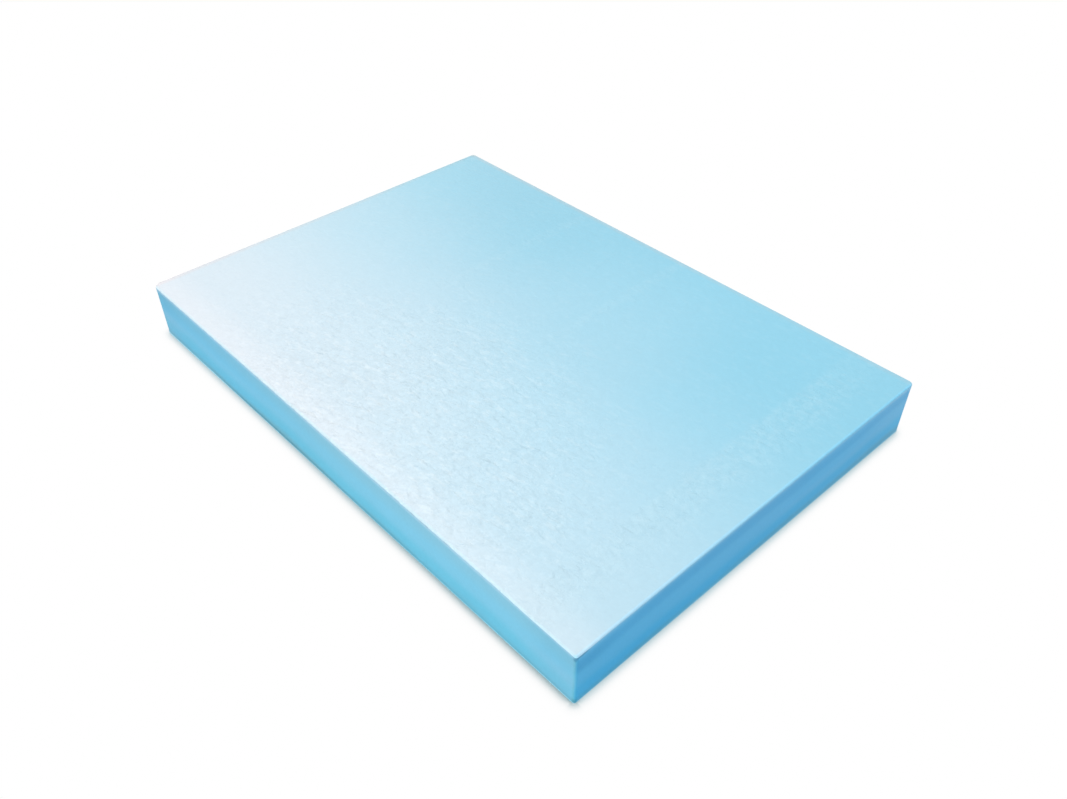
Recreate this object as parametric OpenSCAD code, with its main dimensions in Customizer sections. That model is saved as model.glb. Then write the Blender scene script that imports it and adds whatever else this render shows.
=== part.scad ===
// Rigid foam block: one rectangular board cut from a wide extruded plank, lying flat.
// Sizes are in millimetres. The origin is the middle of the underside, and +Z is up.
// The plank was extruded along X, so its two skins are the top and the underside.
// The four sides are cut faces: the long ones run along X and the short ones along Y.

/* [Block] */
// Length of the block, along X
block_length = 300; // [210:1:430]
// Width of the block, along Y
block_width = 210; // [148:1:300]
// Thickness of the block, from skin to skin
block_thickness = 28; // [18:0.5:60]

/* [Upright corners] */
// Radius of the corner at +X -Y, the crispest one
corner_front_r = 1.2; // [1.1:0.1:12]
// Radius of the corner at +X +Y
corner_right_r = 2.5; // [1.1:0.1:12]
// Radius of the corner at -X +Y
corner_back_r = 2; // [1.1:0.1:12]
// Radius of the corner at -X -Y, the most rubbed one
corner_left_r = 4.5; // [1.1:0.1:12]

/* [Long edges of the skins] */
// Radius of the rounded edge between the top skin and the cut sides
top_edge_r = 0.6; // [0.2:0.05:1]
// Radius of the rounded edge between the bottom skin and the cut sides
base_edge_r = 0.6; // [0.2:0.05:1]

/* [Hidden] */
$fn = 96;

// How far a waste piece reaches past the faces that it trims
spill = 1;

// Corners and sides are counted anticlockwise from above. Corner i starts side i, and side 0 faces +X.
corner_r = [corner_front_r, corner_right_r, corner_back_r, corner_left_r];
corner_count = len(corner_r);
quarter = 90;

// Distance from the block's centre to side i, and half of the length of side i
function side_reach(i) = (i % 2 == 0 ? block_length : block_width) / 2;
function side_half(i) = side_reach(i + 1);

// Length of the straight part of side i, between its two corner radii
function side_run(i) = 2 * side_half(i) - corner_r[i] - corner_r[(i + 1) % corner_count];

// Moves its children to the centre of corner i's radius, with side i facing +X there
module at_corner(i) {
    rotate(quarter * i)
        translate([side_reach(i) - corner_r[i], corner_r[i] - side_half(i)])
            children();
}

// What a corner radius leaves of the square corner outside it
module corner_waste(r) {
    difference() {
        translate([0, -r - spill])
            square(r + spill);
        circle(r);
    }
}

// Plan of the block
module plan() {
    difference() {
        square([block_length, block_width], center = true);
        for (i = [0 : corner_count - 1])
            at_corner(i)
                corner_waste(corner_r[i]);
    }
}

// Section of what a rounded edge leaves outside it. The square edge lies at the origin, with the foam at -X -Y.
module edge_waste(r) {
    difference() {
        translate([-r, -r])
            square(r + spill);
        translate([-r, -r])
            circle(r);
    }
}

// Carries a section once round the plan. The section's X = 0 runs along the sides, and its Y is the height.
module sweep_round_plan() {
    for (i = [0 : corner_count - 1])
        at_corner(i) {
            rotate(-quarter)
                rotate_extrude(angle = quarter)
                    translate([corner_r[i], 0])
                        children();
            translate([corner_r[i], side_run(i), 0])
                rotate([quarter, 0, 0])
                    linear_extrude(side_run(i))
                        children();
        }
}

// The block: its plan raised to the full thickness, less the waste outside its rounded edges
module foam_block() {
    color([0.66, 0.86, 0.94])
        difference() {
            linear_extrude(block_thickness)
                plan();
            translate([0, 0, block_thickness])
                sweep_round_plan()
                    edge_waste(top_edge_r);
            sweep_round_plan()
                mirror([0, 1])
                    edge_waste(base_edge_r);
        }
}

foam_block();
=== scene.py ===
"""Looks of a rigid foam block: its skins, cut sides, floor, light and camera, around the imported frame.

Every length in the classes below is in millimetres unless it says otherwise, and Blender gets metres.
"""

from __future__ import annotations

import logging
import math
from dataclasses import dataclass
from enum import Enum
from typing import Any, Mapping, Optional, Sequence, Union

import bpy
from mathutils import Euler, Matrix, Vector


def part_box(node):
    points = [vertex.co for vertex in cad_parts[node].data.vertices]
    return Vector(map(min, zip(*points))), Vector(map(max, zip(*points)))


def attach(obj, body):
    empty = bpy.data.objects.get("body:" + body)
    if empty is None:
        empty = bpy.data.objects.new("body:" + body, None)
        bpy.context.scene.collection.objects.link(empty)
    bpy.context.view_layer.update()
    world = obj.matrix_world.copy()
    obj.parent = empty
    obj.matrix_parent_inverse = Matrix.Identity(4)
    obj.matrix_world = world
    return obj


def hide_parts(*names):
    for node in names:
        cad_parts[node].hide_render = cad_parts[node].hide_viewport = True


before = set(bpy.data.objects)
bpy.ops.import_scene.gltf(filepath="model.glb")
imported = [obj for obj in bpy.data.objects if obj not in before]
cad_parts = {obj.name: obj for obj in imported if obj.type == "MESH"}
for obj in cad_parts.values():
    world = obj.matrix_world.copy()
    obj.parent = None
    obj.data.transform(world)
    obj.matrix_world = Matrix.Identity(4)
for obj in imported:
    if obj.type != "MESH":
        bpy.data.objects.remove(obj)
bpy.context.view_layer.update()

NODE = "foam_block"
SLOT = "blue_foam"
BODY = "root"
PIECE = "blue_foam_block"
MM = 0.001
TINY = 1e-6
NOISE_MEAN = 0.5

log = logging.getLogger("foam_block")

Colour = tuple[float, float, float]
Triple = tuple[float, float, float]
Pair = tuple[float, float]


class Blend(Enum):
    """How a colour is laid over another."""

    MIX = "MIX"
    MULTIPLY = "MULTIPLY"


class Value:
    """A number on a socket. Arithmetic on it adds Math nodes to the same tree."""

    def __init__(self, graph: Graph, socket: bpy.types.NodeSocket) -> None:
        """Wraps the output socket of a tree that carries the number."""
        self.graph = graph
        self.socket = socket

    def __add__(self, other: Number) -> Value:
        """Sum."""
        return self.graph.math("ADD", self, other)

    def __radd__(self, other: Number) -> Value:
        """Sum with a plain number first."""
        return self.graph.math("ADD", other, self)

    def __sub__(self, other: Number) -> Value:
        """Difference."""
        return self.graph.math("SUBTRACT", self, other)

    def __rsub__(self, other: Number) -> Value:
        """Difference with a plain number first."""
        return self.graph.math("SUBTRACT", other, self)

    def __mul__(self, other: Number) -> Value:
        """Product."""
        return self.graph.math("MULTIPLY", self, other)

    def __rmul__(self, other: Number) -> Value:
        """Product with a plain number first."""
        return self.graph.math("MULTIPLY", other, self)

    def __truediv__(self, other: Number) -> Value:
        """Quotient."""
        return self.graph.math("DIVIDE", self, other)

    def __pow__(self, other: Number) -> Value:
        """Power."""
        return self.graph.math("POWER", self, other)

    def __abs__(self) -> Value:
        """Size without its sign."""
        return self.graph.math("ABSOLUTE", self)

    def least(self, other: Number) -> Value:
        """The smaller of two numbers."""
        return self.graph.math("MINIMUM", self, other)

    def most(self, other: Number) -> Value:
        """The larger of two numbers."""
        return self.graph.math("MAXIMUM", self, other)

    def sign(self) -> Value:
        """One, nought or minus one."""
        return self.graph.math("SIGN", self)

    def rise(self, start: Number, end: Number) -> Value:
        """A smooth step from nought at start to one at end.

        Args:
            start: The number at which the step starts.
            end: The number at which the step ends, which may be less than start.

        Returns:
            The step.
        """
        settings = {"interpolation_type": "SMOOTHSTEP"}
        sockets = {"Value": self, "From Min": start, "From Max": end}
        return self.graph.value("ShaderNodeMapRange", "Result", settings, sockets)


Number = Union[float, Value]


class Graph:
    """Adds nodes to one node tree and links them."""

    def __init__(self, tree: bpy.types.NodeTree) -> None:
        """Empties the shader, world or geometry tree that is to be filled."""
        self.tree = tree
        tree.nodes.clear()

    def node(
        self,
        kind: str,
        settings: Optional[Mapping[str, Any]] = None,
        sockets: Optional[Mapping[Any, Any]] = None,
    ) -> bpy.types.Node:
        """Adds a node.

        Args:
            kind: The node's type.
            settings: Its own properties, set before its sockets.
            sockets: What each input holds, by name or number: a plain value, a Value or an output socket.

        Returns:
            The node.
        """
        made = self.tree.nodes.new(kind)
        for name, setting in (settings or {}).items():
            setattr(made, name, setting)
        for name, held in (sockets or {}).items():
            source = held.socket if isinstance(held, Value) else held
            if isinstance(source, bpy.types.NodeSocket):
                self.tree.links.new(source, made.inputs[name])
            else:
                made.inputs[name].default_value = source
        return made

    def value(
        self,
        kind: str,
        output: Union[str, int],
        settings: Optional[Mapping[str, Any]] = None,
        sockets: Optional[Mapping[Any, Any]] = None,
    ) -> Value:
        """Adds a node as node() does, and wraps one of its outputs, by name or number."""
        return Value(self, self.node(kind, settings, sockets).outputs[output])

    def math(self, operation: str, *operands: Number) -> Value:
        """Adds a Math node with one, two or three numbers."""
        return self.value("ShaderNodeMath", 0, {"operation": operation}, dict(enumerate(operands)))

    def choose(self, test: Value, if_true: Number, if_false: Number) -> Value:
        """Goes from the last number to the one before it as the test goes from nought to one."""
        return if_false + test * (if_true - if_false)

    def point(self, x: Number, y: Number, z: Number) -> bpy.types.NodeSocket:
        """Makes a vector of three numbers."""
        return self.node("ShaderNodeCombineXYZ", None, {0: x, 1: y, 2: z}).outputs[0]

    def split(self, vector: bpy.types.NodeSocket) -> tuple[Value, Value, Value]:
        """Takes a vector apart into its three numbers."""
        parts = self.node("ShaderNodeSeparateXYZ", None, {0: vector}).outputs
        return Value(self, parts[0]), Value(self, parts[1]), Value(self, parts[2])

    def distance(self, *offsets: Value) -> Value:
        """How long an offset is, from its numbers along each axis."""
        return self.math("SQRT", sum((offset * offset for offset in offsets[1:]), offsets[0] * offsets[0]))

    def stretched(self, place: bpy.types.NodeSocket, factors: Triple) -> bpy.types.NodeSocket:
        """A place multiplied along each axis, so that a pattern read there is drawn out."""
        return self.node("ShaderNodeVectorMath", {"operation": "MULTIPLY"}, {0: place, 1: factors}).outputs[0]

    def turned(self, place: bpy.types.NodeSocket, degrees: float) -> bpy.types.NodeSocket:
        """A place turned about the vertical axis."""
        sockets = {"Vector": place, "Angle": math.radians(degrees)}
        return self.node("ShaderNodeVectorRotate", {"rotation_type": "Z_AXIS"}, sockets).outputs[0]

    def colour_mix(
        self, factor: Number, under: Any, over: Any, blend: Blend = Blend.MIX
    ) -> bpy.types.NodeSocket:
        """Lays a colour over another.

        Args:
            factor: How much of the upper colour there is.
            under: The lower colour, plain or on a socket.
            over: The upper colour, plain or on a socket.
            blend: How the upper colour acts.

        Returns:
            The result's socket.
        """
        settings = {"data_type": "RGBA", "blend_type": blend.value, "clamp_factor": True}
        held = [c if isinstance(c, bpy.types.NodeSocket) else (*c, 1.0) for c in (under, over)]
        return self.node("ShaderNodeMix", settings, {0: factor, 6: held[0], 7: held[1]}).outputs[2]

    def tinted(
        self, colour: bpy.types.NodeSocket, layers: Sequence[tuple[Number, Any]]
    ) -> bpy.types.NodeSocket:
        """Multiplies a colour by one tint after another.

        Args:
            colour: The colour's socket.
            layers: How much of each tint there is, and the tint, plain or on a socket.

        Returns:
            The result's socket.
        """
        for share, tint in layers:
            colour = self.colour_mix(share, colour, tint, Blend.MULTIPLY)
        return colour

    def shaded(self, colour: bpy.types.NodeSocket, shade: Value) -> bpy.types.NodeSocket:
        """A colour multiplied by a number near one."""
        return self.tinted(colour, [(1.0, self.point(shade, shade, shade))])


@dataclass(frozen=True)
class Grain:
    """Smooth noise from nought to one: its wave's length, octaves, their strength, and its twist."""

    size: float
    detail: float = 2.0
    roughness: float = 0.5
    warp: float = 0.0

    def at(self, graph: Graph, place: bpy.types.NodeSocket) -> Value:
        """The noise at a place.

        Args:
            graph: The tree's graph.
            place: Where it is read, in millimetres.

        Returns:
            The noise, with its mean at a half.
        """
        sockets = {
            "Vector": place,
            "Scale": 1.0 / self.size,
            "Detail": self.detail,
            "Roughness": self.roughness,
            "Distortion": self.warp,
        }
        return graph.value("ShaderNodeTexNoise", 0, {"noise_dimensions": "3D"}, sockets)

    def swing(self, graph: Graph, place: bpy.types.NodeSocket) -> Value:
        """The noise at a place, moved so that its mean is nought."""
        return self.at(graph, place) - NOISE_MEAN


@dataclass(frozen=True)
class Rise:
    """A smooth step from nought to one. It falls where its end is less than its start."""

    start: float
    end: float

    def at(self, number: Value) -> Value:
        """The step at a number."""
        return number.rise(self.start, self.end)


@dataclass(frozen=True)
class Hump:
    """One near its middle, a half at half_width from it, with a smooth fall as long as soft on both sides."""

    middle: float
    half_width: float
    soft: float

    def at(self, number: Value) -> Value:
        """The hump at a number."""
        foot, top = self.half_width + self.soft / 2, self.half_width - self.soft / 2
        return abs(number - self.middle).rise(foot, top)


Fade = Union[Rise, Hump]


@dataclass(frozen=True)
class Zone:
    """A part of the block with soft ends along, across and up it, and how much of something it holds."""

    share: float = 1.0
    x: Optional[Fade] = None
    y: Optional[Fade] = None
    level: Optional[Fade] = None

    def at(self, x: Value, y: Value, level: Optional[Value] = None) -> Number:
        """How much there is at a place.

        Args:
            x: How far along the block the place is.
            y: How far across the block it is.
            level: How high it is, where the zone has an end there.

        Returns:
            The share.
        """
        amount = self.share
        for fade, number in ((self.x, x), (self.y, y), (self.level, level)):
            if fade is not None:
                amount = fade.at(number) * amount
        return amount


@dataclass(frozen=True)
class Spread:
    """A share that there is all over the block, and the zones where there is more or less."""

    share: float
    zones: Sequence[Zone]

    def at(self, x: Value, y: Value) -> Number:
        """How much there is at a place along and across the block."""
        return sum((zone.at(x, y) for zone in self.zones), self.share)


@dataclass(frozen=True)
class SkinFinish:
    """The dense outer skin that forms where the plank is extruded: pale, pearly, finely wrinkled, with
    painted glare.
    """

    colour: Colour = (0.165, 0.485, 0.66)
    left_tint: Colour = (0.985, 0.972, 0.975)
    right_tint: Colour = (0.975, 1.025, 1.03)
    tint_change: Rise = Rise(-130.0, 120.0)
    roughness: float = 0.42
    front_half: Rise = Rise(1.0, -1.0)
    right_half: Rise = Rise(-1.0, 1.0)
    top_half: Rise = Rise(8.0, 16.0)

    # The painted glare, which pales the top's colour towards the near long side, and the underside's even
    # paler tone
    pale_and_glare_colour: Colour = (0.79, 0.78, 0.84)
    glare_fade: Rise = Rise(80.0, -110.0)
    glare_slant: float = 0.08
    glare_waver: float = 22.0
    glare_share: Spread = Spread(
        0.50,
        (
            Zone(0.12, y=Rise(-82.0, -103.0)),
            Zone(-0.045, x=Rise(-30.0, -90.0), y=Hump(-15.0, 35.0, 50.0)),
        ),
    )
    glare_share_fall: float = 0.0008
    far_glare: Zone = Zone(0.06, x=Hump(20.0, 45.0, 60.0), y=Hump(55.0, 30.0, 50.0))
    base_paleness: float = 0.15

    # The broad patch beside the near long side where the wrinkles are strongest
    patch_middle: Pair = (10.0, -88.0)
    patch_reach: Pair = (100.0, 80.0)
    patch_drift: Grain = Grain(30.0, 2.0, 0.6)
    patch_drift_reach: float = 1.6
    patch_fade: Rise = Rise(1.8, 0.0)
    base_patches: float = 0.2

    # Small marks in the colour
    clouds: Grain = Grain(46.0, 3.0)
    cloud_depth: float = 0.05
    flecks: Grain = Grain(3.6, 2.0, 0.6)
    specks: Grain = Grain(1.5, 1.0, 0.5)
    fleck_depth: float = 0.10
    plain_strength: float = 0.5
    # Painted highlights: pale glints mixed into the colour, most in the wrinkled patch
    glint_colour: Colour = (0.90, 0.94, 0.96)
    glints: Grain = Grain(2.4, 1.0, 0.6, 0.2)
    glint_peaks: Rise = Rise(0.54, 0.70)
    glint_share: float = 0.09
    plain_glints: float = 0.2

    # The pressed band
    band_colour: Colour = (0.50, 0.68, 0.77)
    band_share: float = 0.05
    band_fleck_share: float = 0.13
    band_flecks: Rise = Rise(-0.15, 0.25)

    # The lips, where the skin turns over the edges; along the near long side, paler skin with a painted
    # highlight
    left_pale_highlight_tint: Colour = (0.92, 1.045, 1.05)
    right_pale_highlight_tint: Colour = (1.07, 1.10, 1.07)
    lip_change: Rise = Rise(20.0, 140.0)
    near_pale_highlight: Rise = Rise(1.7, 0.9)
    lip_narrowing: Zone = Zone(0.5, x=Rise(108.0, 132.0))
    end_lip_tint: Colour = (0.93, 1.07, 1.15)
    end_lip: Rise = Rise(1.5, 0.8)
    corner_lip_tint: Colour = (0.78, 0.92, 0.97)
    corner_lip: Rise = Rise(3.2, 1.0)
    far_lip_tint: Colour = (1.42, 0.965, 0.90)
    far_lip: Rise = Rise(4.0, 1.2)
    far_lip_share: Spread = Spread(0.65, (Zone(0.35, x=Rise(90.0, -70.0)),))
    far_end_lip_tint: Colour = (1.075, 0.94, 0.905)

    # The relief
    wrinkles: Grain = Grain(2.6, 3.0, 0.55, 0.6)
    wrinkle_height: float = 0.19
    creases: Grain = Grain(3.2, 1.0, 0.5, 0.6)
    crease_height: float = 0.42
    crease_turn_deg: float = -10.0
    crease_stretch: Triple = (0.46, 1.0, 1.0)
    pores: Grain = Grain(0.7, 2.0, 0.6)
    pore_height: float = 0.006
    relief_share: Spread = Spread(0.45, (Zone(0.25, x=Rise(60.0, -60.0)),))
    patch_relief: float = 1.9
    band_relief: float = 1.2

    def patches(self, graph: Graph, place: bpy.types.NodeSocket) -> Value:
        """How strongly the skin is wrinkled: most in a broad patch beside one long side.

        Args:
            graph: The material's graph.
            place: The place on the block, in millimetres.

        Returns:
            The strength, from about nought to one.
        """
        x, y, z = graph.split(place)
        along = (x - self.patch_middle[0]) / self.patch_reach[0]
        across = (y - self.patch_middle[1]) / self.patch_reach[1]
        drift = self.patch_drift.swing(graph, place) * self.patch_drift_reach
        patch = self.patch_fade.at(along * along + across * across + drift)
        return graph.choose(self.top_half.at(z), patch, self.base_patches)

    def drawn_out(self, graph: Graph, place: bpy.types.NodeSocket) -> bpy.types.NodeSocket:
        """The place as the creases see it, drawn out a little to one side of the plank's length."""
        return graph.stretched(graph.turned(place, self.crease_turn_deg), self.crease_stretch)

    def lips(
        self,
        graph: Graph,
        tint: bpy.types.NodeSocket,
        spot: tuple[Value, Value],
        side_gaps: tuple[Value, Value],
    ) -> bpy.types.NodeSocket:
        """Adds the lips to the skin's colour, with paler skin and a painted highlight along the near long
        side.

        Args:
            graph: The material's graph.
            tint: The skin's colour.
            spot: The place along and across the block, in millimetres.
            side_gaps: How far it is from the nearer short side and the nearer long side, in millimetres.

        Returns:
            The colour's socket.
        """
        x, y = spot
        gap_x, gap_y = side_gaps
        front, right = self.front_half.at(y), self.right_half.at(x)
        # Paler skin and a painted highlight along the near long side
        near_pale_highlight_tint = graph.colour_mix(self.lip_change.at(x), self.left_pale_highlight_tint, self.right_pale_highlight_tint)
        layers = (
            (self.near_pale_highlight.at(gap_y + self.lip_narrowing.at(x, y)) * front, near_pale_highlight_tint),
            (self.end_lip.at(gap_x) * right, self.end_lip_tint),
            (self.corner_lip.at(gap_x + gap_y) * front * right, self.corner_lip_tint),
            (self.far_lip.at(gap_y) * (1.0 - front) * self.far_lip_share.at(x, y), self.far_lip_tint),
            (self.far_lip.at(gap_x) * (1.0 - right), self.far_end_lip_tint),
        )
        return graph.tinted(tint, layers)

    def colour_at(
        self, graph: Graph, place: bpy.types.NodeSocket, band: Value, side_gaps: tuple[Value, Value]
    ) -> bpy.types.NodeSocket:
        """Colour over the skin.

        Args:
            graph: The material's graph.
            place: The place on the block, in millimetres.
            band: How strongly the pressed band shows there.
            side_gaps: How far it is from the nearer short side and the nearer long side, in millimetres.

        Returns:
            The colour's socket.
        """
        x, y, z = graph.split(place)
        clouds = self.clouds.swing(graph, place)
        flecks = self.flecks.swing(graph, place)
        specks = self.specks.swing(graph, place)
        # Painted glare: the top's colour pales towards the near long side, and the underside's is evenly
        # paler
        glare = self.glare_fade.at(y + x * self.glare_slant + clouds * self.glare_waver)
        share = self.glare_share.at(x, y) - x.most(0.0) * self.glare_share_fall
        glare = graph.choose(self.top_half.at(z), glare * share + self.far_glare.at(x, y), self.base_paleness)
        tint = graph.colour_mix(glare, self.colour, self.pale_and_glare_colour)
        pressed = band * (self.band_share + self.band_flecks.at(flecks) * self.band_fleck_share)
        tint = graph.colour_mix(pressed, tint, self.band_colour)
        patches = self.patches(graph, place)
        # Painted highlights: pale glints along the creases, most in the wrinkled patch
        glints = self.glint_peaks.at(self.glints.at(graph, self.drawn_out(graph, place)))
        glints = glints * (self.plain_glints + patches) * self.glint_share
        tint = graph.colour_mix(glints, tint, self.glint_colour)
        along = graph.colour_mix(self.tint_change.at(x), self.left_tint, self.right_tint)
        tint = self.lips(graph, graph.tinted(tint, [(1.0, along)]), (x, y), side_gaps)
        marks = (flecks + specks) * self.fleck_depth * (self.plain_strength + patches)
        return graph.shaded(tint, 1.0 + clouds * self.cloud_depth + marks)

    def height_at(self, graph: Graph, place: bpy.types.NodeSocket, band: Value) -> Value:
        """Fine relief of the skin.

        Args:
            graph: The material's graph.
            place: The place on the block, in millimetres.
            band: How strongly the pressed band shows there.

        Returns:
            The height, in millimetres.
        """
        x, y, _ = graph.split(place)
        wrinkles = self.wrinkles.swing(graph, place) * self.wrinkle_height
        creases = self.creases.swing(graph, self.drawn_out(graph, place)) * self.crease_height
        strength = self.relief_share.at(x, y) + self.patches(graph, place) * self.patch_relief
        strength = strength + band * self.band_relief
        return (wrinkles + creases) * strength + self.pores.swing(graph, place) * self.pore_height


@dataclass(frozen=True)
class CutFinish:
    """The cut sides, where the foam's own closed cells show: matt and a stronger blue.

    A level is a share of the block's thickness, from nought at the base to one at the top.
    """

    colour: Colour = (0.16, 0.46, 0.63)
    roughness: float = 0.8

    # The slow change of colour up every side
    upper_colour: Colour = (0.175, 0.43, 0.57)
    upper: Rise = Rise(0.55, 0.9)
    end_upper_share: float = 0.2
    lower_colour: Colour = (0.12, 0.45, 0.615)
    lower: Rise = Rise(0.5, 0.25)
    foot_colour: Colour = (0.142, 0.380, 0.475)
    foot: Rise = Rise(0.2, 0.04)
    end_foot_share: float = 0.8
    long_foot_share: Spread = Spread(
        0.45,
        (
            Zone(0.50, x=Hump(-38.0, 58.0, 60.0)),
            Zone(0.20, x=Rise(-60.0, -110.0)),
            Zone(-0.10, x=Rise(50.0, 90.0)),
        ),
    )

    # The long sides' left part, and what they have near their ends
    low_left_tint: Colour = (1.03, 1.03, 1.07)
    high_left_tint: Colour = (0.83, 0.98, 1.05)
    left_change: Rise = Rise(0.4, 0.7)
    left_part: Rise = Rise(20.0, -110.0)
    low_end_tint: Colour = (1.13, 0.950, 0.955)
    high_end_tint: Colour = (0.83, 0.92, 0.95)
    end_change: Rise = Rise(0.3, 0.75)
    end_part: Rise = Rise(34.0, 6.0)

    # The short sides, with the plank's denser layers
    front_end_tint: Colour = (0.525, 0.94, 1.18)
    back_end_tint: Colour = (0.98, 1.06, 1.24)
    across_change: Rise = Rise(-120.0, 120.0)
    high_streak_tint: Colour = (0.80, 0.90, 0.955)
    high_streak: Hump = Hump(0.80, 0.10, 0.14)
    low_streak_tint: Colour = (0.89, 0.985, 1.02)
    low_streak: Hump = Hump(0.26, 0.09, 0.14)
    high_back_tint: Colour = (0.84, 0.98, 1.0)
    high_back: Zone = Zone(y=Hump(50.0, 30.0, 50.0), level=Rise(0.42, 0.6))
    front_streak_tint: Colour = (0.84, 0.91, 0.93)
    front_streak: Zone = Zone(y=Rise(-80.0, -98.0), level=Hump(0.78, 0.14, 0.16))

    # The rims right below the lips
    long_rim_colour: Colour = (0.86, 0.80, 0.84)
    long_rim_share: float = 0.15
    end_rim_colour: Colour = (0.73, 0.83, 0.90)
    end_rim_share: float = 0.13
    rim: Rise = Rise(0.905, 0.975)

    # The front corner: painted shadow under the skin's lip along its top and under the skin's tip, and
    # painted shade along its upright edge and at its foot
    lip_shadow_tint: Colour = (0.46, 0.63, 0.69)
    lip_shadow: Zone = Zone(y=Rise(-97.0, -102.0), level=Rise(0.922, 0.968))
    tip_shade_tint: Colour = (0.42, 0.62, 0.72)
    tip_shade_place: Triple = (149.4, -105.0, 26.2)
    tip_shade_height_weight: float = 0.7
    tip_shade_fade: Rise = Rise(1.6, 0.2)
    # Painted shade along the front corner's upright edge, deeper at its foot
    corner_shade_tint: Colour = (0.82, 0.94, 0.91)
    corner: Zone = Zone(x=Rise(148.2, 149.4), y=Rise(-103.2, -104.4))
    corner_foot_shade_tint: Colour = (0.76, 0.80, 0.77)
    corner_foot_shade: Rise = Rise(0.14, 0.05)

    # Painted contact shade: a darker line above the long sides' base
    foot_shade_tint: Colour = (0.74, 0.78, 0.80)
    foot_shade_line: Hump = Hump(0.064, 0.030, 0.03)
    foot_shade_share: Spread = Spread(
        0.75,
        (
            Zone(0.25, x=Hump(-45.0, 35.0, 40.0)),
            Zone(-0.4, x=Rise(40.0, 95.0)),
            Zone(-0.2, x=Rise(-80.0, -110.0)),
        ),
    )

    # Painted light on the base, which lifts the floor's shade there: a soft lighter band, and the rounded
    # edge itself
    base_light_colour: Colour = (0.48, 0.87, 1.0)
    base_light_band: Rise = Rise(0.10, 0.02)
    long_band_share: Zone = Zone(0.26, x=Rise(-60.0, -110.0))
    end_band_share: Spread = Spread(0.104, (Zone(0.156, y=Rise(-110.0, -30.0)),))
    base_light_edge: Rise = Rise(0.045, 0.012)
    long_edge_share: Spread = Spread(0.70, (Zone(-0.24, x=Hump(30.0, 50.0, 80.0)),))
    end_edge_share: float = 0.60
    corner_loss: float = 0.8

    # Small marks in the colour, and the relief
    drift: Grain = Grain(22.0)
    drift_stretch: Triple = (0.4, 0.4, 1.0)
    drift_reach: float = 0.25
    drift_depth: float = 0.08
    cell_specks: Grain = Grain(0.9, 1.0, 0.6)
    cell_depth: float = 0.10
    cells: Grain = Grain(0.45, 1.0, 0.5)
    cell_height: float = 0.03
    wire_lines: Grain = Grain(1.3, 2.0, 0.6)
    wire_stretch: Triple = (1.0, 1.0, 0.04)
    wire_height: float = 0.02

    def layered(
        self, graph: Graph, level: Value, upper_share: Number, foot_share: Number
    ) -> bpy.types.NodeSocket:
        """Colour from the foot of a side up to its top.

        Args:
            graph: The material's graph.
            level: The share of the block's thickness below the place, a little wavy.
            upper_share: How much of the upper colour there is.
            foot_share: How much of the foot's colour there is.

        Returns:
            The colour's socket.
        """
        tint = graph.colour_mix(self.upper.at(level) * upper_share, self.colour, self.upper_colour)
        tint = graph.colour_mix(self.lower.at(level), tint, self.lower_colour)
        return graph.colour_mix(self.foot.at(level) * foot_share, tint, self.foot_colour)

    def long_side(
        self, graph: Graph, x: Value, y: Value, level: Value, gap: Value
    ) -> bpy.types.NodeSocket:
        """Colour over the sides cut along the plank.

        Args:
            graph: The material's graph.
            x: How far along the block the place is, in millimetres.
            y: How far across the block it is, in millimetres.
            level: The share of the block's thickness below the place, a little wavy.
            gap: How far the place is from the nearer end of the block, in millimetres.

        Returns:
            The colour's socket.
        """
        left = graph.colour_mix(self.left_change.at(level), self.low_left_tint, self.high_left_tint)
        end = graph.colour_mix(self.end_change.at(level), self.low_end_tint, self.high_end_tint)
        layers = ((self.left_part.at(x), left), (self.end_part.at(gap), end))
        return graph.tinted(self.layered(graph, level, 1.0, self.long_foot_share.at(x, y)), layers)

    def short_side(self, graph: Graph, x: Value, y: Value, level: Value) -> bpy.types.NodeSocket:
        """Colour over the sides cut across the plank, where its denser layers show as faint streaks.

        Args:
            graph: The material's graph.
            x: How far along the block the place is, in millimetres.
            y: How far across the block it is, in millimetres.
            level: The share of the block's thickness below the place, a little wavy.

        Returns:
            The colour's socket.
        """
        layers = (
            (1.0, graph.colour_mix(self.across_change.at(y), self.front_end_tint, self.back_end_tint)),
            (self.high_streak.at(level), self.high_streak_tint),
            (self.low_streak.at(level), self.low_streak_tint),
            (self.high_back.at(x, y, level), self.high_back_tint),
        )
        return graph.tinted(self.layered(graph, level, self.end_upper_share, self.end_foot_share), layers)

    def from_tip_shade(self, graph: Graph, place: bpy.types.NodeSocket) -> Value:
        """How far a place is from the painted shade spot under the skin's tip at the front corner, with less
        weight on its height.
        """
        x, y, z = [number - middle for number, middle in zip(graph.split(place), self.tip_shade_place)]
        return graph.distance(x, y, z * math.sqrt(self.tip_shade_height_weight))

    def base_light(self, graph: Graph, x: Value, y: Value, height: Value, on_end: Value) -> Value:
        """How much of the painted light there is near the base, which lifts the floor's shade there.

        Args:
            graph: The material's graph.
            x: How far along the block the place is, in millimetres.
            y: How far across the block it is, in millimetres.
            height: The share of the block's thickness below the place.
            on_end: Whether the place is on a short side, cut across the plank.

        Returns:
            The share.
        """
        band = graph.choose(on_end, self.end_band_share.at(x, y), self.long_band_share.at(x, y))
        edge = graph.choose(on_end, self.end_edge_share, self.long_edge_share.at(x, y))
        return self.base_light_band.at(height) * band + self.base_light_edge.at(height) * edge

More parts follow.
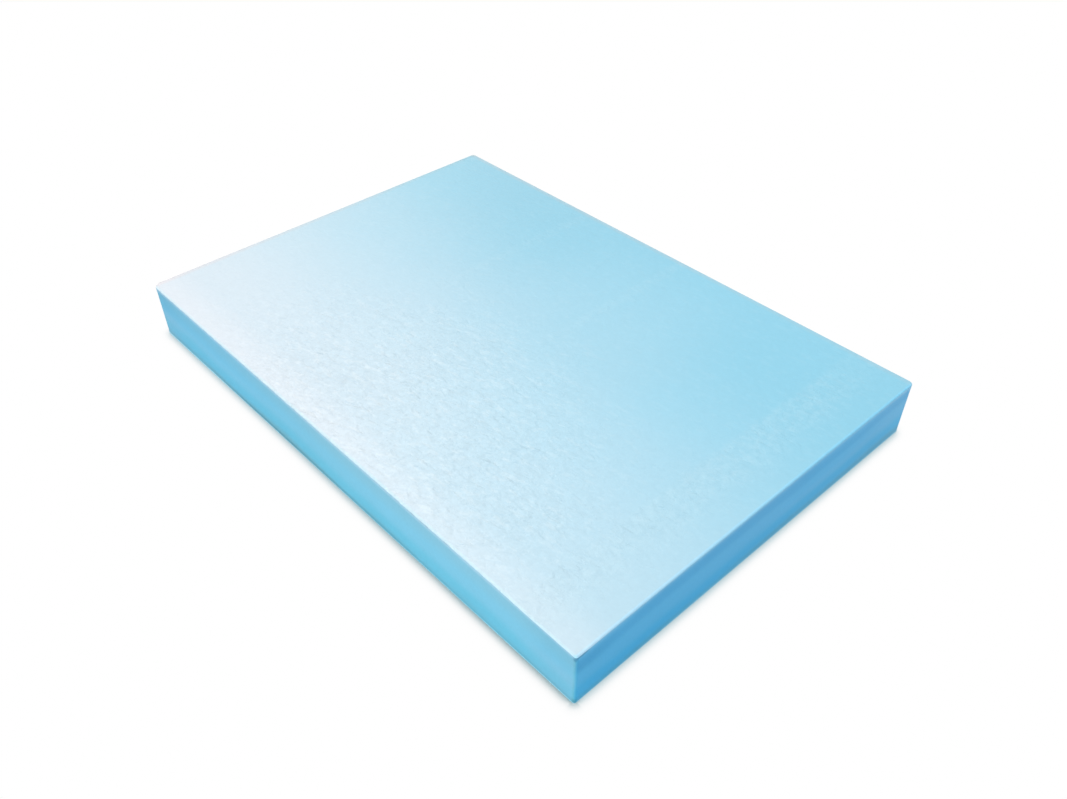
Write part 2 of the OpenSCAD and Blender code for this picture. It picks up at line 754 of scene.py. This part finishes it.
    def colour_at(
        self,
        graph: Graph,
        place: bpy.types.NodeSocket,
        height: Value,
        on_end: Value,
        gap: Value,
    ) -> bpy.types.NodeSocket:
        """Colour over the cut sides.

        Args:
            graph: The material's graph.
            place: The place on the block, in millimetres.
            height: The share of the block's thickness below the place.
            on_end: Whether the place is on a short side, cut across the plank.
            gap: How far the place is from the nearer end of the block, in millimetres.

        Returns:
            The colour's socket.
        """
        x, y, _ = graph.split(place)
        drift = self.drift.swing(graph, graph.stretched(place, self.drift_stretch))
        cells = self.cell_specks.swing(graph, place)
        level = height + drift * self.drift_reach
        sides = self.long_side(graph, x, y, level, gap), self.short_side(graph, x, y, level)
        tint = graph.colour_mix(on_end, *sides)
        rim = self.rim.at(height) * graph.choose(on_end, self.end_rim_share, self.long_rim_share)
        rim_colour = graph.colour_mix(on_end, self.long_rim_colour, self.end_rim_colour)
        tint = graph.colour_mix(rim, tint, rim_colour)
        corner = self.corner.at(x, y)
        line = self.foot_shade_line.at(height) * (1.0 - on_end) * self.foot_shade_share.at(x, y)
        # Painted shade at the front corner, under the skin's lip and tip, along its upright edge and at its
        # foot, and a painted contact shade line above the long sides' base
        layers = (
            (self.lip_shadow.at(x, y, height) * on_end, self.lip_shadow_tint),
            (self.tip_shade_fade.at(self.from_tip_shade(graph, place)), self.tip_shade_tint),
            (self.front_streak.at(x, y, level) * on_end, self.front_streak_tint),
            (corner, self.corner_shade_tint),
            (corner * self.corner_foot_shade.at(height), self.corner_foot_shade_tint),
            (line, self.foot_shade_tint),
        )
        # Painted light near the base, less at the front corner
        base_light = self.base_light(graph, x, y, height, on_end) * (1.0 - corner * self.corner_loss)
        tint = graph.colour_mix(base_light, graph.tinted(tint, layers), self.base_light_colour)
        return graph.shaded(tint, 1.0 + drift * self.drift_depth + cells * self.cell_depth)

    def height_at(self, graph: Graph, place: bpy.types.NodeSocket) -> Value:
        """Fine relief of the cut sides: cells, and the wire's faint lines across the thickness.

        Args:
            graph: The material's graph.
            place: The place on the block, in millimetres.

        Returns:
            The height, in millimetres.
        """
        cells = self.cells.swing(graph, place)
        lines = self.wire_lines.swing(graph, graph.stretched(place, self.wire_stretch))
        return cells * self.cell_height + lines * self.wire_height


@dataclass(frozen=True)
class FoamMaterial:
    """The block's one material: skin on the broad faces, cut foam on the sides."""

    length: float
    width: float
    thickness: float
    skin: SkinFinish = SkinFinish()
    cut: CutFinish = CutFinish()
    ior: float = 1.5
    specular_level: float = 0.35
    coat_roughness: float = 0.4
    coat_ior: float = 1.45

    # Where the skin wraps over the edges and the cut foam starts
    end_turn: Rise = Rise(-1.0, 1.0)
    end_wrap: float = 0.46
    long_wrap: Spread = Spread(0.29, (Zone(0.32, x=Rise(100.0, 135.0)),))
    by_side: Rise = Rise(1.3, 0.7)
    below_edge: Rise = Rise(0.5, 0.9)
    skin_end: Rise = Rise(0.12, -0.12)
    ragged: Grain = Grain(2.2)
    ragged_depth: float = 0.3
    skin_unevenness: float = 0.12
    cut_unevenness: float = 0.05
    band_roughness: float = 0.05

    # The band that rollers pressed across the skin, and two fainter lines
    band_x: float = 119.0
    band_start: Rise = Rise(-2.2, 1.8)
    band_end: Rise = Rise(26.0, 8.0)
    band_strength: Spread = Spread(0.4, (Zone(0.6, y=Rise(100.0, 65.0)),))
    band_waver: Grain = Grain(14.0)
    band_waver_reach: float = 3.0
    lines: Sequence[Hump] = (Hump(-51.0, 3.0, 3.0), Hump(17.0, 3.0, 3.0))
    line_strength: Zone = Zone(0.4, y=Rise(-15.0, 35.0))

    def band_at(self, graph: Graph, place: bpy.types.NodeSocket) -> Value:
        """The rougher, paler band that rollers pressed across the top skin near one end.

        Args:
            graph: The material's graph.
            place: The place on the block, in millimetres.

        Returns:
            Its strength, from nought to one.
        """
        x, y, z = graph.split(place)
        across = x + self.band_waver.swing(graph, place) * self.band_waver_reach
        past = across - self.band_x
        broad = self.band_start.at(past) * self.band_end.at(past) * self.band_strength.at(x, y)
        faint = [line.at(across) for line in self.lines]
        marks = broad + sum(faint[1:], faint[0]) * self.line_strength.at(x, y)
        return marks * self.skin.top_half.at(z)

    def build(self) -> bpy.types.Material:
        """Makes the material.

        Returns:
            The material, ready to assign.
        """
        made = bpy.data.materials.new(SLOT)
        made.use_nodes = True
        graph = Graph(made.node_tree)
        coordinates = graph.node("ShaderNodeTexCoord").outputs["Object"]
        place = graph.stretched(coordinates, (1 / MM, 1 / MM, 1 / MM))
        x, y, z = graph.split(place)
        ragged = self.ragged.swing(graph, place)
        depth = z.least(self.thickness - z)
        gap_x, gap_y = self.length / 2 - abs(x), self.width / 2 - abs(y)
        on_end = self.end_turn.at(gap_y - gap_x)
        wrap = graph.choose(on_end, self.end_wrap, self.long_wrap.at(x, y))
        by_side = self.by_side.at(gap_x.least(gap_y)).most(self.below_edge.at(depth))
        on_skin = self.skin_end.at((depth + ragged * self.ragged_depth) * by_side - wrap)
        band = self.band_at(graph, place)
        skin_colour = self.skin.colour_at(graph, place, band, (gap_x, gap_y))
        cut_colour = self.cut.colour_at(graph, place, z / self.thickness, on_end, gap_x)
        skin_roughness = self.skin.roughness + ragged * self.skin_unevenness + band * self.band_roughness
        cut_roughness = self.cut.roughness + ragged * self.cut_unevenness
        heights = self.skin.height_at(graph, place, band), self.cut.height_at(graph, place)
        relief = {"Strength": 1.0, "Distance": MM, "Height": graph.choose(on_skin, *heights)}
        bump = graph.node("ShaderNodeBump", None, relief)
        sockets = {
            "Base Color": graph.colour_mix(on_skin, cut_colour, skin_colour),
            "Roughness": graph.choose(on_skin, skin_roughness, cut_roughness),
            "IOR": self.ior,
            "Specular IOR Level": self.specular_level,
            "Coat Weight": on_skin,
            "Coat Roughness": self.coat_roughness,
            "Coat IOR": self.coat_ior,
            "Normal": bump.outputs[0],
        }
        shader = graph.node("ShaderNodeBsdfPrincipled", None, sockets)
        graph.node("ShaderNodeOutputMaterial", None, {"Surface": shader.outputs[0]})
        return made


@dataclass(frozen=True)
class FoamBlock:
    """The block as one closed mesh, folded from a gridded cube by Geometry Nodes."""

    length: float
    width: float
    thickness: float
    edge_r: float = 0.6
    corner_front_r: float = 1.2
    corner_right_r: float = 2.5
    corner_back_r: float = 2.0
    corner_left_r: float = 4.5

    # The grid: its widest spacings, the rows round an edge, and how far the holding row lies from them
    spacing: float = 1.3
    side_spacing: float = 2.2
    edge_rows: int = 3
    hold: float = 0.25
    above: Rise = Rise(-0.5, 0.5)

    # The relief, which lies inside the true form
    seed: float = 17.0
    seed_shift: float = 100.0
    waves: Grain = Grain(60.0)
    wave_height: float = 0.10
    wrinkles: Grain = Grain(7.0, 2.0, 0.55, 0.5)
    wrinkle_stretch: Triple = (0.8, 1.0, 1.0)
    wrinkle_height: float = 0.06
    lip: float = 0.06
    lip_reach: float = 2.5
    wander: Grain = Grain(35.0)
    wander_height: float = 0.08

    def rows(self, size: float, spacing: float) -> int:
        """Counts the rows, at most spacing apart, from the middle of a side to its holding row."""
        return math.ceil((size / 2 - self.edge_r - self.hold) / spacing)

    def tree(self, material: bpy.types.Material) -> tuple[bpy.types.NodeTree, dict[str, float]]:
        """Builds the Geometry Nodes tree.

        Args:
            material: What the mesh is dressed with.

        Returns:
            The tree, and the value of each of its named inputs.
        """
        made = bpy.data.node_groups.new("foam_block_shape", "GeometryNodeTree")
        inputs = {
            "Length": self.length,
            "Width": self.width,
            "Thickness": self.thickness,
            "Edge radius": self.edge_r,
            "Front corner radius": self.corner_front_r,
            "Right corner radius": self.corner_right_r,
            "Back corner radius": self.corner_back_r,
            "Left corner radius": self.corner_left_r,
            "Wave height": self.wave_height,
            "Wrinkle height": self.wrinkle_height,
            "Skin lip": self.lip,
            "Seed": self.seed,
        }
        for name in inputs:
            made.interface.new_socket(name, in_out="INPUT", socket_type="NodeSocketFloat")
        made.interface.new_socket("Geometry", in_out="OUTPUT", socket_type="NodeSocketGeometry")
        graph = Graph(made)
        given = graph.node("NodeGroupInput").outputs
        size = {name: Value(graph, given[name]) for name in inputs}

        spacings = (self.spacing, self.spacing, self.side_spacing)
        across = [self.rows(s, gap) for s, gap in zip((self.length, self.width, self.thickness), spacings)]
        extent = [2.0 * (n + 1 + self.edge_rows) for n in across]
        counts = {f"Vertices {axis}": int(e) + 1 for axis, e in zip("XYZ", extent)}
        cube = graph.node("GeometryNodeMeshCube", None, {"Size": tuple(extent), **counts}).outputs["Mesh"]
        row = graph.split(graph.node("GeometryNodeInputPosition").outputs[0])
        halves = [size["Length"] / 2, size["Width"] / 2, size["Thickness"] / 2]
        folded, outward = self.fold(graph, size, row, across, halves)
        relief = self.relief(graph, size, folded, outward)
        target = [(p - n * relief) * MM for p, n in zip(folded, outward)]
        target[2] = target[2] + halves[2] * MM
        places = {"Geometry": cube, "Position": graph.point(*target)}
        moved = graph.node("GeometryNodeSetPosition", None, places)
        smooth = graph.node("GeometryNodeSetShadeSmooth", None, {"Geometry": moved.outputs[0]})
        real = graph.node("GeometryNodeRealizeInstances", None, {"Geometry": smooth.outputs[0]})
        finish = {"Geometry": real.outputs[0], "Material": material}
        dressed = graph.node("GeometryNodeSetMaterial", None, finish)
        graph.node("NodeGroupOutput", None, {"Geometry": dressed.outputs[0]})
        return made, inputs

    def fold(
        self,
        graph: Graph,
        size: Mapping[str, Value],
        row: Sequence[Value],
        across: Sequence[int],
        halves: Sequence[Value],
    ) -> tuple[list[Value], list[Value]]:
        """Folds the gridded cube into the block with its round corners and edges.

        Args:
            graph: The tree's graph.
            size: The tree's named inputs.
            row: Each vertex's row number along X, Y and Z, counted from the middle.
            across: How many evenly spaced rows lie between the middle and the holding row.
            halves: Half of the length, the width and the thickness.

        Returns:
            The vertex's place about the block's centre, and its outward direction.
        """
        edge = size["Edge radius"]
        signs = [r.sign() for r in row]
        flat = []
        for number, count, half in zip(row, across, halves):
            past = abs(number) - count
            step = (half - edge - self.hold) / count
            angle = (past - 1.0).most(0.0) * (math.pi / 4 / self.edge_rows)
            evenly = abs(number).least(count) * step
            flat.append(evenly + past.most(0.0).least(1.0) * self.hold + edge * graph.math("TANGENT", angle))
        inset = (halves[0] - flat[0]).least(halves[1] - flat[1])
        out = (edge - inset).most(0.0)
        up = (flat[2] - (halves[2] - edge)).most(0.0)
        bend = edge / graph.distance(out, up).most(TINY)
        out, up = out * bend, up * bend
        inset = inset.most(edge) - out
        right, back = self.above.at(signs[0]), self.above.at(signs[1])
        corner_r = graph.choose(
            right,
            graph.choose(back, size["Right corner radius"], size["Front corner radius"]),
            graph.choose(back, size["Back corner radius"], size["Left corner radius"]),
        )
        past_x = (flat[0] - (halves[0] - corner_r)).most(0.0)
        past_y = (flat[1] - (halves[1] - corner_r)).most(0.0)
        reach = graph.distance(past_x, past_y).most(TINY)
        spread = (corner_r - inset) / reach
        folded = [
            signs[0] * (flat[0].least(halves[0] - corner_r) + past_x * spread),
            signs[1] * (flat[1].least(halves[1] - corner_r) + past_y * spread),
            signs[2] * (flat[2].least(halves[2] - edge) + up),
        ]
        sideways = out / edge / reach
        outward = [signs[0] * past_x * sideways, signs[1] * past_y * sideways, signs[2] * up / edge]
        return folded, outward

    def relief(
        self, graph: Graph, size: Mapping[str, Value], folded: Sequence[Value], outward: Sequence[Value]
    ) -> Value:
        """How far each vertex lies inside the true form.

        Args:
            graph: The tree's graph.
            size: The tree's named inputs.
            folded: The vertex's place about the block's centre.
            outward: Its outward direction.

        Returns:
            The depth in millimetres, never less than nought.
        """
        place = graph.point(folded[0], folded[1], folded[2] + size["Seed"] * self.seed_shift)
        on_skin = outward[2] * outward[2]
        waves = self.waves.at(graph, place) * size["Wave height"]
        drawn_out = graph.stretched(place, self.wrinkle_stretch)
        wrinkles = self.wrinkles.at(graph, drawn_out) * size["Wrinkle height"]
        below = size["Thickness"] / 2 - abs(folded[2])
        lip = below.rise(size["Edge radius"], self.lip_reach) * size["Skin lip"]
        wander = self.wander.at(graph, place) * self.wander_height
        return graph.choose(on_skin, waves + wrinkles, lip + wander)

    def build(self, material: bpy.types.Material) -> bpy.types.Object:
        """Makes the block's mesh.

        Args:
            material: What it is dressed with.

        Returns:
            The block, as a plain mesh at the origin.
        """
        holder = bpy.data.objects.new("block_shape", bpy.data.meshes.new("block_shape"))
        bpy.context.scene.collection.objects.link(holder)
        modifier = holder.modifiers.new("shape", "NODES")
        tree, inputs = self.tree(material)
        modifier.node_group = tree
        for socket in tree.interface.items_tree:
            if socket.name in inputs:
                modifier[socket.identifier] = inputs[socket.name]
        graph = bpy.context.evaluated_depsgraph_get()
        mesh = bpy.data.meshes.new_from_object(holder.evaluated_get(graph))
        bpy.data.objects.remove(holder)
        bpy.data.node_groups.remove(tree)
        mesh.name = PIECE
        block = bpy.data.objects.new(PIECE, mesh)
        bpy.context.scene.collection.objects.link(block)
        return block


@dataclass(frozen=True)
class Lamp:
    """A soft square lamp that points at the block, with or without a mirror image in the block's gloss.

    Its place is an azimuth, a height in degrees and a distance. Its lengths are in metres.
    """

    name: str
    azimuth_deg: float
    height_deg: float
    distance: float
    side: float
    watts: float
    colour: Colour = (1.0, 1.0, 1.0)
    mirrored: bool = True

    def build(self, aim: Vector) -> bpy.types.Object:
        """Makes the lamp.

        Args:
            aim: The point that it faces, in metres.

        Returns:
            The lamp.
        """
        azimuth, height = math.radians(self.azimuth_deg), math.radians(self.height_deg)
        level = math.cos(height)
        away = Vector((math.cos(azimuth) * level, math.sin(azimuth) * level, math.sin(height)))
        light = bpy.data.lights.new(self.name, "AREA")
        light.size = self.side
        light.energy = self.watts
        light.color = self.colour
        lamp = bpy.data.objects.new(self.name, light)
        lamp.location = away * self.distance
        lamp.rotation_euler = (lamp.location - aim).to_track_quat("Z", "Y").to_euler()
        lamp.visible_camera = False
        lamp.visible_glossy = self.mirrored
        bpy.context.scene.collection.objects.link(lamp)
        return lamp


WARM = (1.0, 0.86, 0.74)


@dataclass(frozen=True)
class Studio:
    """The plain white floor, the white world and the lamps. Its sizes are in metres."""

    floor_size: float = 12.0
    floor_drop: float = 0.00005
    floor_colour: Colour = (0.9, 0.9, 0.9)
    hidden_drops: Rise = Rise(12.0, 10.0)
    world_level: float = 0.75

    # The contact shadow that the camera sees
    shadow_samples: int = 8
    shadow_reach: float = 0.006
    shadow_power: float = 2.6
    shadow_depth: float = 2.4
    left_shadow: Colour = (1.32, 0.96, 0.84)
    right_shadow: Colour = (1.36, 1.10, 1.04)
    right_part: Zone = Zone(x=Rise(-0.080, 0.130), y=Rise(-0.100, -0.106))
    front_shadow: Zone = Zone(0.35, x=Rise(-0.080, 0.060), y=Rise(-0.100, -0.106))
    deepest: float = 0.39
    deepest_right: float = 0.53

    # The shadow's deeper spot at the front corner
    corner_place: Pair = (0.1495, -0.1045)
    past_corner: Zone = Zone(x=Rise(0.148, 0.150), y=Rise(-0.103, -0.105))
    corner_shadow: float = 4.0
    corner_reach: Rise = Rise(0.007, 0.0)
    corner_core: Rise = Rise(0.004, 0.001)
    deepest_corner: float = 0.33

    lamps: Sequence[Lamp] = (
        Lamp("window_top", 140.0, 60.0, 1.2, 0.9, 4.2, WARM),
        Lamp("window_side", 167.0, 38.0, 1.2, 1.0, 3.5, WARM),
        Lamp("front_low", 284.0, 14.0, 0.60, 0.30, 1.15, mirrored=False),
        Lamp("far_corner", 63.0, 53.0, 0.37, 0.25, 0.17),
    )

    def seen_levels(self, graph: Graph) -> list[Value]:
        """How light the floor looks to the camera: white, and darker close to the block.

        Args:
            graph: The floor material's graph.

        Returns:
            The levels of red, green and blue.
        """
        samples, reach = {"samples": self.shadow_samples}, {"Distance": self.shadow_reach}
        near = graph.value("ShaderNodeAmbientOcclusion", "AO", samples, reach)
        x, y, _ = graph.split(graph.node("ShaderNodeTexCoord").outputs["Object"])
        from_corner = graph.distance(x - self.corner_place[0], y - self.corner_place[1])
        past_corner = self.past_corner.at(x, y)
        corner = self.corner_reach.at(from_corner) * past_corner * self.corner_shadow
        more = 1.0 + self.front_shadow.at(x, y) + corner
        dark = (1.0 - near) ** self.shadow_power * self.shadow_depth * more
        to_right = self.right_part.at(x, y)
        deepest = graph.choose(to_right, self.deepest_right, self.deepest)
        in_core = self.corner_core.at(from_corner) * past_corner
        dark = dark.least(graph.choose(in_core, self.deepest_corner, deepest))
        shares = [graph.choose(to_right, *pair) for pair in zip(self.right_shadow, self.left_shadow)]
        return [(1.0 - dark * share).most(0.0) for share in shares]

    def floor_material(self) -> bpy.types.Material:
        """Makes the floor's material: white to the camera, plain to the light, and clear from below.

        Returns:
            The material.
        """
        made = bpy.data.materials.new("floor")
        made.use_nodes = True
        graph = Graph(made.node_tree)
        path = graph.node("ShaderNodeLightPath").outputs
        seen = graph.node("ShaderNodeEmission", None, {"Color": graph.point(*self.seen_levels(graph))})
        lit = graph.node("ShaderNodeBsdfDiffuse", None, {"Color": (*self.floor_colour, 1.0)})
        sides = {0: path["Is Camera Ray"], 1: lit.outputs[0], 2: seen.outputs[0]}
        surface = graph.node("ShaderNodeMixShader", None, sides)
        clear = graph.node("ShaderNodeBsdfTransparent")
        short = self.hidden_drops.at(Value(graph, path["Ray Length"]) / self.floor_drop)
        behind = graph.value("ShaderNodeNewGeometry", "Backfacing")
        away = {0: behind.most(short), 1: surface.outputs[0], 2: clear.outputs[0]}
        final = graph.node("ShaderNodeMixShader", None, away)
        graph.node("ShaderNodeOutputMaterial", None, {"Surface": final.outputs[0]})
        return made

    def world(self) -> bpy.types.World:
        """Makes the world: white where it is seen or mirrored, and a plain level elsewhere.

        Returns:
            The world.
        """
        made = bpy.data.worlds.new("studio")
        made.use_nodes = True
        graph = Graph(made.node_tree)
        path = graph.node("ShaderNodeLightPath").outputs
        shown = Value(graph, path["Is Camera Ray"]).most(Value(graph, path["Is Glossy Ray"]))
        shown = shown.most(Value(graph, path["Is Transmission Ray"]))
        level = graph.choose(shown, 1.0, self.world_level)
        sky = graph.node("ShaderNodeBackground", None, {"Color": (1.0, 1.0, 1.0, 1.0), "Strength": level})
        graph.node("ShaderNodeOutputWorld", None, {"Surface": sky.outputs[0]})
        return made

    def build(self, aim: Vector) -> None:
        """Makes the floor, the world and the lamps.

        Args:
            aim: The point that the lamps face, in metres.
        """
        half = self.floor_size / 2
        mesh = bpy.data.meshes.new("floor")
        corners = [(-half, -half), (half, -half), (half, half), (-half, half)]
        mesh.from_pydata([(x, y, -self.floor_drop) for x, y in corners], [], [(0, 1, 2, 3)])
        mesh.materials.append(self.floor_material())
        floor = bpy.data.objects.new("floor", mesh)
        bpy.context.scene.collection.objects.link(floor)
        bpy.context.scene.world = self.world()
        for lamp in self.lamps:
            lamp.build(aim)


@dataclass(frozen=True)
class Camera:
    """The photograph's viewpoint, in the block's frame and in metres, with its lens in millimetres."""

    place: Triple = (0.27498, -0.24127, 0.29669)
    tilt_deg: float = 48.13
    roll_deg: float = -0.08
    turn_deg: float = 47.04
    lens: float = 32.445
    sensor: float = 36.0
    shift_y: float = 0.02345
    clip_start: float = 0.01

    def build(self) -> bpy.types.Object:
        """Makes the camera and hands it to the scene.

        Returns:
            The camera.
        """
        data = bpy.data.cameras.new("camera")
        data.sensor_width = self.sensor
        data.lens = self.lens
        data.shift_y = self.shift_y
        data.clip_start = self.clip_start
        camera = bpy.data.objects.new("camera", data)
        camera.location = self.place
        turns = (self.tilt_deg, self.roll_deg, self.turn_deg)
        camera.rotation_euler = Euler([math.radians(turn) for turn in turns])
        bpy.context.scene.collection.objects.link(camera)
        bpy.context.scene.camera = camera
        return camera


def main() -> None:
    """Builds the camera, the studio and the block, and ties the block to the frame."""
    logging.basicConfig(level=logging.INFO, format="%(name)s: %(message)s")
    bpy.context.scene.view_settings.view_transform = "Standard"
    low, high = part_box(NODE)
    length, width, thickness = ((high[i] - low[i]) / MM for i in range(3))
    Camera().build()
    Studio().build(aim=Vector((0.0, 0.0, high[2])))
    material = FoamMaterial(length, width, thickness).build()
    block = FoamBlock(length, width, thickness).build(material)
    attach(block, BODY)
    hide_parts(NODE)
    triangles = sum(len(p.vertices) - 2 for p in block.data.polygons)
    measures = [d / MM for d in block.dimensions]
    log.info("%s: %.1f x %.1f x %.1f mm, %d triangles", block.name, *measures, triangles)


if __name__ == "__main__":
    main()
